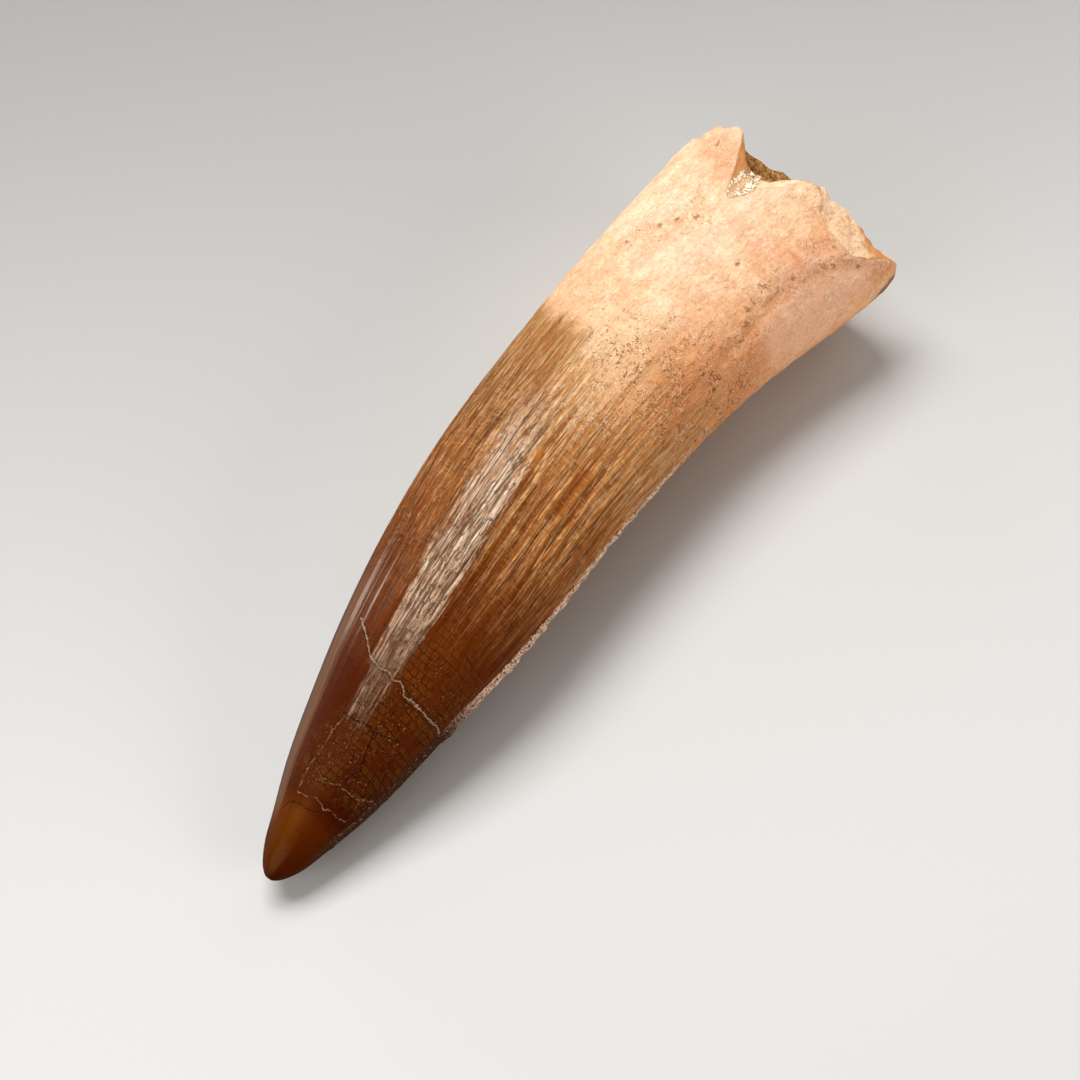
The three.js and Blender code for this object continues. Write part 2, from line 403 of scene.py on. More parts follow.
PITS = [
    [68.1, 135], [67.2, 137], [66.0, 142], [64.6, 147], [69.9, 133], [66.7, 47], [69.6, 58],
    [70.9, 64], [72.0, 72], [62.6, 31], [70.1, 114], [76.6, 149], [75.8, 146], [72.6, 140],
    [80.6, 44], [80.1, 47], [57.6, 128], [56.3, 118], [55.2, 140], [78.6, 158],
]
pit_away = np.min(
    [np.hypot(vertex_x - x, (vertex_angle - a) * mm_per_degree) for x, a in PITS], axis=0
)
store("pit", np.minimum(pit_away, 3))

# Each crack is a list of [x, angle] points, in the order that its own rule needs: those that
# run round the tooth rise in angle, and those that run along it rise in x.
CRACKS_ROUND = {
    "main": [[22.0, 46], [20.7, 61], [19.4, 73], [19.0, 88], [19.2, 97], [18.8, 103],
             [19.1, 111], [18.8, 116], [18.4, 119], [18.4, 152], [18.6, 163], [18.4, 177]],
    "cap": [[5.4, 50], [5.8, 56], [6.1, 66], [6.2, 84], [6.3, 102], [6.6, 116]],
    "cap_top": [[7.0, 66], [7.0, 82], [7.4, 96], [7.3, 106], [7.1, 119], [7.4, 132],
                [7.3, 143], [7.5, 156]],
    "cross": [[14.4, 76], [14.4, 92], [14.6, 104], [14.5, 116], [14.8, 126], [15.2, 140]],
    "low_cross": [[9.3, 122], [9.4, 137], [9.7, 148], [10.0, 156], [10.5, 166]],
    "low_fork": [[9.4, 78], [9.0, 91], [8.8, 98], [9.1, 108], [9.5, 120]],
}
CRACKS_ALONG = {
    "left": [[7.0, 66], [8.3, 66], [9.5, 68], [11.0, 72], [12.1, 74], [12.9, 74], [14.4, 80]],
    "middle": [[9.3, 123], [10.0, 120], [10.7, 122], [11.4, 128], [12.0, 124], [13.0, 120],
               [14.5, 116]],
    "right": [[7.4, 156], [8.3, 156], [9.0, 152], [9.7, 148]],
    "pale": [[29.2, 115], [30.2, 117], [32.6, 118], [34.9, 117.5], [37.1, 118.5], [40.2, 118]],
    "groove": [[55.5, 153], [58.2, 150], [61.7, 147], [65.6, 144], [68.4, 142], [71.5, 144],
               [74.7, 145], [77.2, 149], [79.5, 157]],
    "furrow": [[60.0, 33], [64.0, 40], [66.7, 47], [69.5, 58], [71.5, 70]],
    "seam": [[69.9, 76], [71.5, 72], [73.5, 65], [75.7, 56]],
}
FAR_SIDE = 60  # degrees from a lengthwise crack past which it is kept off the other side


def crack_offset(places, values, where, value):
    """How far each vertex is from a line of values over places: the difference in value, the
    slope of the line there, and how far it is past the line's ends."""
    slope = np.interp(where, places, np.gradient(values, places))
    past = np.maximum(0, np.maximum(places[0] - where, where - places[-1]))
    return value - np.interp(where, places, values), slope, past


for name, ways in CRACKS_ROUND.items():
    crack_x, crack_angle = np.array(ways, float).T
    side, slope, past = crack_offset(crack_angle, crack_x, vertex_angle, vertex_x)
    side = side / np.sqrt(1 + (slope / mm_per_degree) ** 2)
    store("crack_" + name, np.stack([side, past * mm_per_degree, 0 * side], -1), "FLOAT_VECTOR")
for name, ways in CRACKS_ALONG.items():
    crack_x, crack_angle = np.array(ways, float).T
    side, slope, past = crack_offset(crack_x, crack_angle, vertex_x, vertex_angle)
    past = past + np.maximum(0, np.abs(side) - FAR_SIDE)
    side = side * mm_per_degree / np.sqrt(1 + (slope * mm_per_degree) ** 2)
    store("crack_" + name, np.stack([side, past, 0 * side], -1), "FLOAT_VECTOR")


def corner_columns():
    """The column of each face corner, from 0 to STEPS_AROUND, with the last column's far side
    counted as STEPS_AROUND, so that a map isn't folded back over the seam."""
    here = np.arange(STEPS_AROUND)
    fan = np.stack([here + 0.5, here + 1, here], -1)
    quad = np.stack([here, here + 1, here + 1, here], -1)
    end_fan = np.stack([here, here + 1, here + 0.5], -1)
    quads_all = np.broadcast_to(quad, (len(rings) - 1,) + quad.shape)
    return np.concatenate([fan.ravel(), quads_all.ravel(), end_fan.ravel()])


# Two maps of the skin. One is the unwrapped sheet that its finish is kept on: the outside
# takes most of it and the broken end a strip at the top. The other is in millimetres round
# and along the tooth, for the crazing of the enamel.
SKIN_SHARE = 0.8
SHEET_MARGIN = 0.004
columns = corner_columns()
corner_vertex = np.empty(len(tooth_mesh.loops), np.int32)
tooth_mesh.loops.foreach_get("vertex_index", corner_vertex)
ring_row = np.arange(1.0, len(rings) + 1)[:, None]
row_of_vertex = with_poles(ring_row, 0.0, len(rings) + 1.0)
corner_row = row_of_vertex[corner_vertex]
face_corners = np.repeat([3, 4, 3], [len(first_fan), len(quads), len(last_fan)])
face_of_corner = np.repeat(np.arange(len(face_corners)), face_corners)
face_row = np.zeros(len(face_corners))
np.maximum.at(face_row, face_of_corner, corner_row)
on_skin = face_row[face_of_corner] <= SKIN_STEPS
past_skin = (corner_row - SKIN_STEPS) / (len(rings) + 1 - SKIN_STEPS)
sheet_v = np.where(
    on_skin,
    corner_row / SKIN_STEPS * (SKIN_SHARE - SHEET_MARGIN),
    SKIN_SHARE + SHEET_MARGIN + past_skin * (1 - SKIN_SHARE - 2 * SHEET_MARGIN),
)
sheet = tooth_mesh.uv_layers.new(name="OFBake")
sheet.uv.foreach_set(
    "vector", np.stack([columns / STEPS_AROUND, sheet_v], -1).astype(np.float32).ravel()
)
round_mm = (columns * 360 / STEPS_AROUND - 180) * mm_per_degree[corner_vertex]
crazing_map = tooth_mesh.uv_layers.new(name="Crazing")
crazing_map.uv.foreach_set(
    "vector", np.stack([round_mm, vertex_x[corner_vertex]], -1).astype(np.float32).ravel()
)
tooth_mesh.uv_layers.active = sheet


# The tooth's finish: silky brown enamel with pale worn flutes, crazing and cracks, darker and
# glossier to the point, and dull cream dentine with peach, mauve and brown stains and pits;
# painted highlights, sheen and shade stand in for some of the light.
class Wire:
    """One output of the finish's nodes. Sums, products and the like of wires and numbers add
    Math nodes."""

    def __init__(self, finish, socket):
        self.finish = finish
        self.socket = socket

    def __add__(self, other):
        return self.finish.maths("ADD", self, other)

    __radd__ = __add__

    def __mul__(self, other):
        return self.finish.maths("MULTIPLY", self, other)

    __rmul__ = __mul__

    def __sub__(self, other):
        return self.finish.maths("SUBTRACT", self, other)

    def __rsub__(self, other):
        return self.finish.maths("SUBTRACT", other, self)

    def __truediv__(self, other):
        return self.finish.maths("DIVIDE", self, other)


class Finish:
    """A material and its nodes."""

    def __init__(self, name):
        self.material = bpy.data.materials.new(name)
        self.material.use_nodes = True
        self.tree = self.material.node_tree
        self.tree.nodes.clear()

    def node(self, kind, settings=None, inputs=None, output=0):
        """Adds a node: its settings first, with a ramp's stops as [place, colour] pairs, then
        a value or a link for each named or numbered input. Gives the output that is asked for."""
        made = self.tree.nodes.new(kind)
        for key, value in (settings or {}).items():
            if key == "stops":
                ramp = made.color_ramp.elements
                ramp.remove(ramp[1])
                ramp[0].position = value[0][0]
                ramp[0].color = (*value[0][1], 1)
                for place, colour in value[1:]:
                    ramp.new(place).color = (*colour, 1)
            else:
                setattr(made, key, value)
        for key, value in (inputs or {}).items():
            if isinstance(value, Wire):
                self.tree.links.new(value.socket, made.inputs[key])
            else:
                made.inputs[key].default_value = value
        return Wire(self, made.outputs[output]) if made.outputs else None

    def maths(self, operation, *values):
        """A sum, product or the like of wires and numbers."""
        return self.node("ShaderNodeMath", {"operation": operation}, dict(enumerate(values)))

    def rise(self, value, low, high):
        """0 up to low, 1 from high, smooth between. With low over high it falls instead."""
        ends = (low, high, 0.0, 1.0) if low < high else (high, low, 1.0, 0.0)
        names = ("From Min", "From Max", "To Min", "To Max")
        return self.node(
            "ShaderNodeMapRange", {"interpolation_type": "SMOOTHSTEP"},
            {"Value": value, **dict(zip(names, ends))},
        )

    def read(self, name, vector=False):
        """What the mesh holds under a name: a number, or a vector."""
        return self.node(
            "ShaderNodeAttribute", {"attribute_name": name}, output="Vector" if vector else "Fac"
        )

    def stretch(self, vector, scales):
        """A vector times a scale for each axis."""
        return self.node(
            "ShaderNodeVectorMath", {"operation": "MULTIPLY"}, {0: vector, 1: scales}
        )

    def noise(self, vector, scale, detail, rough, bend=0.0, output="Fac"):
        """Smooth random values about a half, or colours of them, with finer ones on top."""
        return self.node(
            "ShaderNodeTexNoise", {},
            {"Vector": vector, "Scale": scale, "Detail": detail, "Roughness": rough,
             "Distortion": bend}, output,
        )

    def blend(self, share, first, second, mode="MIX"):
        """The first colour, with a share of the second mixed in or multiplied on. The Mix
        node's colours are its inputs 6 and 7 and its output 2."""
        return self.node(
            "ShaderNodeMix", {"data_type": "RGBA", "blend_type": mode},
            {0: share, 6: as_colour(first), 7: as_colour(second)}, output=2,
        )


def as_colour(value):
    """A wire as it is, or red, green and blue with full alpha."""
    return value if isinstance(value, Wire) else (*value, 1.0)


tooth = Finish("fossil_tooth")
grain = tooth.read("grain", vector=True)
crown = tooth.read("crown")
ridge = tooth.read("ridge")
wall = tooth.read("wall")
cavity = tooth.read("cavity")
streak = tooth.read("streak")
keel = tooth.read("keel")
pitted = tooth.read("pitted")
stained = tooth.read("stained")
chalky = tooth.read("chalky")
crystals = tooth.read("crystals")
pit = tooth.read("pit")
dirt = tooth.read("dirt")
object_place = tooth.node("ShaderNodeTexCoord", output="Object")
place = tooth.stretch(object_place, (1 / MM,) * 3)
crazing_place = tooth.node("ShaderNodeUVMap", {"uv_map": "Crazing"})
x_along = tooth.node("ShaderNodeSeparateXYZ", {}, {0: grain}, "X")
front = tooth.node("ShaderNodeSeparateXYZ", {}, {0: grain}, "Y") / GRAIN_RADIUS


def three_noises(vector, scale, detail, rough, bend=0.0):
    """Three noises of one kind that don't go together, from the parts of a noise's colour."""
    colour = tooth.noise(vector, scale, detail, rough, bend, "Color")
    parts = ("Red", "Green", "Blue")
    return [tooth.node("ShaderNodeSeparateColor", {}, {0: colour}, part) for part in parts]


def lines(noise, half_width):
    """Thin lines, 1 along the level lines where a noise is a half, and 0 off them."""
    return tooth.rise(tooth.maths("ABSOLUTE", noise - 0.5), half_width, half_width * 0.3)


# Noises, with their scales in cycles for each millimetre.
broad, broad_2, broad_3 = three_noises(tooth.stretch(grain, (0.5, 1, 1)), 0.16, 2.0, 0.6)
patchy, patchy_2, patchy_3 = three_noises(place, 0.5, 3.0, 0.62)
speckle, speckle_2, speckle_3 = three_noises(place, 2.0, 3.0, 0.6)
fine, fine_2, fine_3 = three_noises(place, 5.5, 1.5, 0.6)
striae, striae_2, striae_3 = three_noises(tooth.stretch(grain, (0.05, 1, 1)), 1.3, 3.0, 0.6)
thread, thread_2, thread_3 = three_noises(tooth.stretch(grain, (0.28, 1, 1)), 2.3, 3.0, 0.6, 0.3)
cross, cross_2, _ = three_noises(tooth.stretch(grain, (1, 0.14, 0.14)), 2.4, 1.0, 0.5)

# How far round to the back and to the front edge a point is.
back_side = tooth.rise(front, -0.10, -0.85)
front_side = tooth.rise(front, 0.40, 0.95)

# Enamel colour, along the tooth from the point to the root, and that of its worn ridges.
TIP_TO_ROOT = [
    [0.000, (0.080, 0.016, 0.0006)],
    [0.066, (0.125, 0.029, 0.0012)],
    [0.086, (0.072, 0.011, 0.0006)],
    [0.190, (0.082, 0.0130, 0.0009)],
    [0.290, (0.138, 0.0290, 0.0026)],
    [0.400, (0.260, 0.083, 0.0095)],
    [0.500, (0.390, 0.155, 0.0320)],
    [0.600, (0.530, 0.250, 0.0780)],
    [0.700, (0.600, 0.320, 0.1300)],
]
WORN_RIDGES = [
    [0.300, (0.34, 0.140, 0.030)],
    [0.450, (0.62, 0.330, 0.120)],
    [0.600, (0.86, 0.550, 0.270)],
    [0.700, (0.93, 0.650, 0.370)],
]
FULL_LENGTH = 83
off_cap = tooth.rise(x_along, 6.5, 15)
enamel_x = (x_along + ((broad - 0.5) * 12 + (striae - 0.5) * 9) * off_cap) / FULL_LENGTH
enamel = tooth.node("ShaderNodeValToRGB", {"stops": TIP_TO_ROOT}, {0: enamel_x})
dark_clouds = tooth.rise(broad_2, 0.45, 0.62)
light_clouds = tooth.rise(broad_3, 0.48, 0.64)
enamel = tooth.blend(dark_clouds * 0.5, enamel, (0.84, 0.66, 0.50), "MULTIPLY")
enamel = tooth.blend(light_clouds * 0.4, enamel, (1.15, 1.20, 1.1), "MULTIPLY")

# Ridges are worn pale, with painted highlights along their crests, and grooves are darkened with
# painted shade, deepest at their bottoms, with finer pale and dark lines along both. They fade
# out at different places down the crown, and sooner on its front side.
smoother_front = tooth.rise(front, 0.30, 0.75) * 9
fluted = tooth.rise(x_along + (striae - 0.5) * 26 - smoother_front, 23, 42)
on_ridge = tooth.rise(ridge + (striae_2 - 0.5) * 1.3, 0.35, 0.90)
crest = tooth.rise(ridge + (thread - 0.5) * 0.3, 0.72, 0.90) * tooth.rise(striae_3, 0.40, 0.52)
deepest = tooth.rise(ridge + (thread_3 - 0.5) * 0.12, 0.10, 0.02) * tooth.rise(striae, 0.40, 0.52)
groove_shade = tooth.rise(ridge + (striae_3 - 0.5) * 0.5, 0.14, 0.0)
lower_crown = tooth.rise(x_along, 56, 38)
ridge_colour = tooth.node("ShaderNodeValToRGB", {"stops": WORN_RIDGES}, {0: enamel_x})
groove_shade = groove_shade * fluted * lower_crown
# Painted shade in the grooves.
enamel = tooth.blend(groove_shade * 0.5, enamel, (0.50, 0.40, 0.26), "MULTIPLY")
enamel = tooth.blend(on_ridge * fluted * 0.36, enamel, ridge_colour)
# Painted highlights along the crests.
enamel = tooth.blend(crest * fluted * 0.8, enamel, (0.97, 0.77, 0.53))
# Painted shade at the bottoms of the grooves, low on the crown.
deepest_shade = deepest * fluted * lower_crown
enamel = tooth.blend(deepest_shade * 0.75, enamel, (0.36, 0.21, 0.09), "MULTIPLY")
pale_threads = lines(striae_2, 0.045) * fluted * tooth.rise(thread_3, 0.36, 0.50)
enamel = tooth.blend(pale_threads * 0.6, enamel, (0.88, 0.68, 0.43))
dark_threads = tooth.maths("MAXIMUM", lines(striae_3, 0.035), lines(thread_2, 0.035) * 0.6)
dark_threads = dark_threads * tooth.rise(x_along, 12, 34) * (lower_crown * 0.7 + 0.3)
enamel = tooth.blend(dark_threads * 0.75, enamel, (0.30, 0.18, 0.08), "MULTIPLY")

# Hair-thin dark and pale fibres along the grain, where the enamel is worn.
fibre, fibre_2, _ = three_noises(tooth.stretch(grain, (0.045, 1, 1)), 3.0, 1.0, 0.6)
fibrous = tooth.rise(x_along + (striae - 0.5) * 20, 24, 38)
dark_fibres = lines(fibre, 0.045) * fibrous * tooth.rise(thread, 0.40, 0.54)
pale_fibres = lines(fibre_2, 0.03) * fibrous * tooth.rise(thread_2, 0.46, 0.56)
enamel = tooth.blend(dark_fibres * 0.6, enamel, (0.42, 0.27, 0.14), "MULTIPLY")
enamel = tooth.blend(pale_fibres * 0.5, enamel, (0.93, 0.75, 0.50))

# Fine wrinkles across the grain, on the sides of the crown.
crossed = tooth.rise(x_along, 10, 22) * tooth.rise(crown, 3, 14)
crossed = crossed * tooth.rise(patchy_3, 0.42, 0.56)
dark_wrinkles = lines(cross, 0.06) * crossed
pale_wrinkles = lines(cross_2, 0.04) * crossed * tooth.rise(x_along, 20, 34)
enamel = tooth.blend(dark_wrinkles * 0.5, enamel, (0.38, 0.27, 0.16), "MULTIPLY")
enamel = tooth.blend(pale_wrinkles * 0.3, enamel, ridge_colour)

# Tones of the crown's sides: a painted warm shade to the back, with painted warm reflected light
# higher up it, greyer to the front and olive higher up it, painted shade under the point's cap,
# deeper in the middle, and dark specks.
# Painted warm shade on the back side.
enamel = tooth.blend(back_side * 0.3, enamel, (0.86, 0.66, 0.45), "MULTIPLY")
enamel = tooth.blend(front_side * 0.40, enamel, (0.80, 0.80, 0.65), "MULTIPLY")
# Painted shade under the point's cap.
under_cap_shade = tooth.rise(front, 0.05, -0.6) * tooth.rise(x_along, 16, 9)
enamel = tooth.blend(under_cap_shade * 0.8, enamel, (0.62, 0.42, 0.35), "MULTIPLY")
# Painted warm reflected light higher up the back side.
warm_reflection = back_side * tooth.rise(x_along, 26, 38)
enamel = tooth.blend(warm_reflection * 0.14, enamel, (0.70, 0.30, 0.09))
olive = tooth.rise(front, -0.05, 0.55) * tooth.rise(x_along, 36, 50)
enamel = tooth.blend(olive * 0.85, enamel, (0.57, 0.44, 0.28), "MULTIPLY")
deep_tone = tooth.rise(x_along, 18, 27) * tooth.rise(x_along, 50, 40)
enamel = tooth.blend(deep_tone * 0.9, enamel, (0.93, 0.77, 0.57), "MULTIPLY")
dark_specks = tooth.rise(speckle, 0.42, 0.30)
enamel = tooth.blend(dark_specks * 0.5, enamel, (0.45, 0.33, 0.22), "MULTIPLY")

# Painted glints: bright specks standing in for highlights, most of them on the ridges.
painted_glints = tooth.rise(fine_3 + (speckle_2 - 0.5) * 0.4, 0.64, 0.72)
painted_glints = painted_glints * fluted * (on_ridge * 0.7 + 0.3)
enamel = tooth.blend(painted_glints * 0.4, enamel, (0.95, 0.80, 0.58))

# The worn streak on the top of the crown, partly real wear and partly a painted sheen: greyish,
# with dark lines and bright specks, and paler up the crown.
streak_edge = streak + (striae - 0.5) * 3.4 + (thread - 0.5) * 2.0
wear_and_sheen = tooth.rise(streak_edge, -0.30, 0.55) * tooth.rise(x_along, 52, 36)
wear_and_sheen = wear_and_sheen * (tooth.rise(striae * 0.6 + thread * 0.4, 0.40, 0.54) * 0.55 + 0.45)
wear_and_sheen_colour = tooth.node(
    "ShaderNodeValToRGB",
    {"stops": [[0.36, (0.32, 0.170, 0.085)], [0.48, (0.58, 0.385, 0.250)],
               [0.60, (0.92, 0.720, 0.550)]]},
    {0: thread_3 * 0.35 + striae_2 * 0.5 + broad_3 * 0.15},
)
wear_and_sheen_colour = tooth.blend(tooth.rise(fine, 0.58, 0.70) * 0.5, wear_and_sheen_colour, (0.97, 0.84, 0.70))
wear_and_sheen_colour = tooth.blend(tooth.rise(x_along, 28, 42) * 0.3, wear_and_sheen_colour, (0.97, 0.78, 0.60))
worn_lines = lines(thread_2, 0.045) * tooth.rise(patchy_2, 0.38, 0.52)
worn_lines = tooth.maths("MAXIMUM", worn_lines, lines(striae_3, 0.035))
wear_and_sheen_colour = tooth.blend(worn_lines * 0.85, wear_and_sheen_colour, (0.080, 0.038, 0.016))
wear_and_sheen_strength = tooth.rise(x_along, 17, 28) * 0.6 + 0.3
enamel = tooth.blend(wear_and_sheen * wear_and_sheen_strength, enamel, wear_and_sheen_colour)

# A painted sheen: greyer enamel along the front side of the point, standing in for a pale
# reflection there.
painted_sheen = tooth.rise(front + (striae_2 - 0.5) * 0.35, 0.68, 0.86) * tooth.rise(front, 0.985, 0.93)
painted_sheen = painted_sheen * tooth.rise(x_along, 3, 7) * tooth.rise(x_along + (striae - 0.5) * 12, 30, 20)
enamel = tooth.blend(painted_sheen * 0.38, enamel, (0.31, 0.195, 0.120))

# Crazing low on the crown: short cracks across and along the grain, which mark out blocks,
# and a few that branch.
crazed = tooth.rise(x_along, 31, 19) * tooth.rise(x_along, 7, 9)
crazed_side = front + (patchy_3 - 0.5) * 0.8 - tooth.rise(x_along, 17, 11) * 0.5
crazed = crazed * tooth.rise(crazed_side, 0.28, -0.06)
crazing_mover = tooth.noise(place, 0.8, 2.0, 0.6, output="Color")


def bent(amount):
    """The crazing's map, moved by up to an amount of millimetres."""
    return tooth.node(
        "ShaderNodeVectorMath", {"operation": "MULTIPLY_ADD"},
        {0: crazing_mover, 1: (amount, amount, 0), 2: crazing_place},
    )


blocks = tooth.node(
    "ShaderNodeTexBrick", {"offset": 0.37, "squash": 0.7, "squash_frequency": 3},
    {"Vector": bent(0.55), "Scale": 1.0, "Mortar Size": 0.05, "Mortar Smooth": 0.4,
     "Brick Width": 1.0, "Row Height": 0.68}, output="Fac",
)
branches = tooth.node(
    "ShaderNodeTexVoronoi", {"feature": "DISTANCE_TO_EDGE", "voronoi_dimensions": "2D"},
    {"Vector": tooth.stretch(bent(1.1), (0.34, 0.60, 1)), "Scale": 1.0, "Randomness": 0.7},
)
blocks = blocks * tooth.rise(patchy_2 * 0.5 + speckle * 0.5, 0.43, 0.54) * (1 - wear_and_sheen * 0.6)
branching = tooth.rise(branches, 0.035, 0.012) * tooth.rise(patchy, 0.50, 0.60)
crazing = tooth.maths("MAXIMUM", blocks, branching) * crazed
enamel = tooth.blend(crazing * 0.75, enamel, (0.016, 0.005, 0.001))
crumbs = tooth.rise(fine_2, 0.63, 0.70) * crazed * tooth.rise(patchy_3, 0.42, 0.6)
enamel = tooth.blend(crumbs * 0.5, enamel, (0.52, 0.34, 0.18))
between_cracks = (1 - crazing) * crazed * tooth.rise(patchy_2 * 0.5 + speckle * 0.5, 0.44, 0.56)
enamel = tooth.blend(between_cracks * 0.22, enamel, (0.20, 0.066, 0.007))


# A crack's distance wavers to both sides, so it is moved before its length is taken.
waver = speckle * 0.55 + fine * 0.45


def crack(name, half_width, mover=None, by=0.8):
    """1 in a crack and 0 beside it."""
    moved = tooth.node(
        "ShaderNodeVectorMath", {"operation": "ADD"},
        {0: tooth.read("crack_" + name, True),
         1: tooth.node("ShaderNodeCombineXYZ", {}, {0: ((mover or waver) - 0.5) * by})},
    )
    away = tooth.node("ShaderNodeVectorMath", {"operation": "LENGTH"}, {0: moved}, "Value")
    return tooth.rise(away, half_width, half_width * 0.4)


main_crack = crack("main", 0.10)
main_shade = crack("main", 0.34)
fine_cracks = crack("left", 0.06)
for name, width in (
    ("cap_top", 0.065), ("pale", 0.08), ("low_fork", 0.05), ("low_cross", 0.06), ("right", 0.05),
):
    fine_cracks = tooth.maths("MAXIMUM", fine_cracks, crack(name, width))
dark_cracks = crack("cross", 0.08)
for name, width in (("middle", 0.08), ("cap", 0.06)):
    dark_cracks = tooth.maths("MAXIMUM", dark_cracks, crack(name, width))
patches_of_dust = tooth.rise(speckle_3, 0.36, 0.56)
enamel = tooth.blend(main_shade * 0.5, enamel, (0.4, 0.3, 0.25), "MULTIPLY")
enamel = tooth.blend(dark_cracks * 0.85, enamel, (0.016, 0.005, 0.002))
enamel = tooth.blend(fine_cracks * (patches_of_dust * 0.7 + 0.1), enamel, (0.32, 0.19, 0.10))
enamel = tooth.blend(main_crack * (patches_of_dust * 0.5 + 0.35), enamel, (0.42, 0.29, 0.19))

# Dentine: cream, peach and mauve clouds, brown flecks, pits and small cracks, stains, a painted
# warm shade on the back, painted glints, and painted shade under the broken rim.
dentine = tooth.node(
    "ShaderNodeValToRGB",
    {"stops": [[0.37, (0.66, 0.36, 0.20)], [0.46, (0.80, 0.50, 0.30)],
               [0.53, (0.87, 0.61, 0.40)], [0.62, (0.95, 0.78, 0.57)]]},
    {0: patchy * 0.3 + speckle * 0.2 + broad_2 * 0.2 + thread * 0.15 + fine * 0.15},
)
dentine = tooth.blend(tooth.rise(broad_3, 0.48, 0.60) * 0.36, dentine, (0.90, 0.58, 0.44))
yellow = tooth.rise(patchy_3 * 0.6 + thread_2 * 0.4, 0.50, 0.60)
dentine = tooth.blend(yellow * 0.4, dentine, (0.92, 0.76, 0.50))
near_crown = tooth.rise(crown, -11, 1)
dentine = tooth.blend(near_crown * 0.68, dentine, (0.74, 0.46, 0.235))
brown_stains = tooth.rise(stained + (patchy_2 - 0.5) * 1.8, 0.25, 0.9)
chalk = tooth.rise(chalky + (patchy_3 - 0.5) * 1.8, 0.25, 0.8)
dentine = tooth.blend(brown_stains * 0.62, dentine, (0.66, 0.32, 0.15))
dentine = tooth.blend(chalk * 0.6, dentine, (0.92, 0.70, 0.57))
root_threads = lines(thread_2, 0.04) * 0.5 + tooth.rise(striae_2, 0.44, 0.30) * 0.4
dentine = tooth.blend(root_threads * 0.5, dentine, (0.78, 0.57, 0.40), "MULTIPLY")
# Painted warm shade on the back side of the root.
dentine = tooth.blend(back_side * 0.8, dentine, (0.96, 0.69, 0.53), "MULTIPLY")
to_front = tooth.rise(front, 0.1, 0.8)
dentine = tooth.blend(to_front * 0.8, dentine, (0.92, 0.81, 0.82), "MULTIPLY")
rough_patches = tooth.rise(pitted + (patchy - 0.5) * 2.4, 0.35, 0.95)
scratches = tooth.maths("MAXIMUM", lines(thread_3, 0.02), lines(patchy, 0.014))
scratches = scratches * tooth.rise(speckle_2, 0.50, 0.62)
dentine = tooth.blend(scratches * 0.4, dentine, (0.52, 0.28, 0.13))
# Pale scratches, brightened into painted glints.
pale_scratches_and_glints = tooth.maths("MAXIMUM", lines(speckle_2, 0.025), lines(thread, 0.02))
pale_scratches_and_glints = pale_scratches_and_glints * tooth.rise(patchy_2, 0.48, 0.60)
dentine = tooth.blend(pale_scratches_and_glints * 0.35, dentine, (1.0, 0.88, 0.70))
grits = tooth.rise(fine_3, 0.60, 0.70)
dentine = tooth.blend(grits * 0.14, dentine, (0.56, 0.32, 0.17))
hair_cracks = lines(speckle_3, 0.03) * rough_patches
dentine = tooth.blend(hair_cracks * 0.6, dentine, (0.50, 0.25, 0.11))
flecks = tooth.rise(speckle_2 * 0.6 + fine * 0.4, 0.55, 0.63)
flecks = flecks * tooth.rise(near_crown + rough_patches, 0.1, 0.9)
dentine = tooth.blend(flecks * 0.6, dentine, (0.42, 0.21, 0.085))
marks = crack("groove", 0.20, patchy_2, 3.4)
for name, width, mover, by in (
    ("groove", 0.14, patchy_3, 5.0), ("groove", 0.12, speckle_2, 4.0),
    ("furrow", 0.16, patchy_3, 3.4), ("furrow", 0.12, speckle_3, 3.6),
    ("seam", 0.12, speckle_2, 1.4),
):
    marks = tooth.maths("MAXIMUM", marks, crack(name, width, mover, by))
marks = marks * tooth.rise(speckle, 0.40, 0.54)
dentine = tooth.blend(marks * 0.6, dentine, (0.56, 0.25, 0.09))
pores = tooth.rise(fine_3, 0.66, 0.72) * rough_patches * tooth.rise(speckle_3, 0.45, 0.60)
deep_pits = tooth.rise(pit + (fine - 0.5) * 1.0 + (speckle - 0.5) * 1.2, 0.26, 0.06)
all_pits = tooth.maths("MAXIMUM", pores * 0.8, deep_pits)
dentine = tooth.blend(all_pits * 0.75, dentine, (0.28, 0.11, 0.04))
# Painted shade under the broken rim.
underside_shade_mask = tooth.rise(dirt + (speckle - 0.5) * 1.4 + (patchy_2 - 0.5) * 1.8, 0.50, 0.95)
dentine = tooth.blend(underside_shade_mask * 0.8, dentine, (0.17, 0.075, 0.03))
# Painted glints: bright specks standing in for small highlights.
painted_glint_specks = tooth.rise(fine_2, 0.60, 0.72)
dentine = tooth.blend(painted_glint_specks * 0.35, dentine, (1.0, 0.93, 0.80))

# Where the enamel ends: a short edge on the front side, and a long speckled, grain-wise
# fringe over the top and the back.
far_back = tooth.rise(front, 0.55, -0.35)
fringe = crown + (striae - 0.5) * (far_back * 15 + 4) + (speckle - 0.5) * (far_back * 9 + 3)
fringe = fringe + (broad - 0.5) * (far_back * 9 + 3) - far_back * 3
on_crown = tooth.rise(fringe / (far_back * 3 + 1.8), -0.9, 0.9)
colour = tooth.blend(on_crown, dentine, enamel)

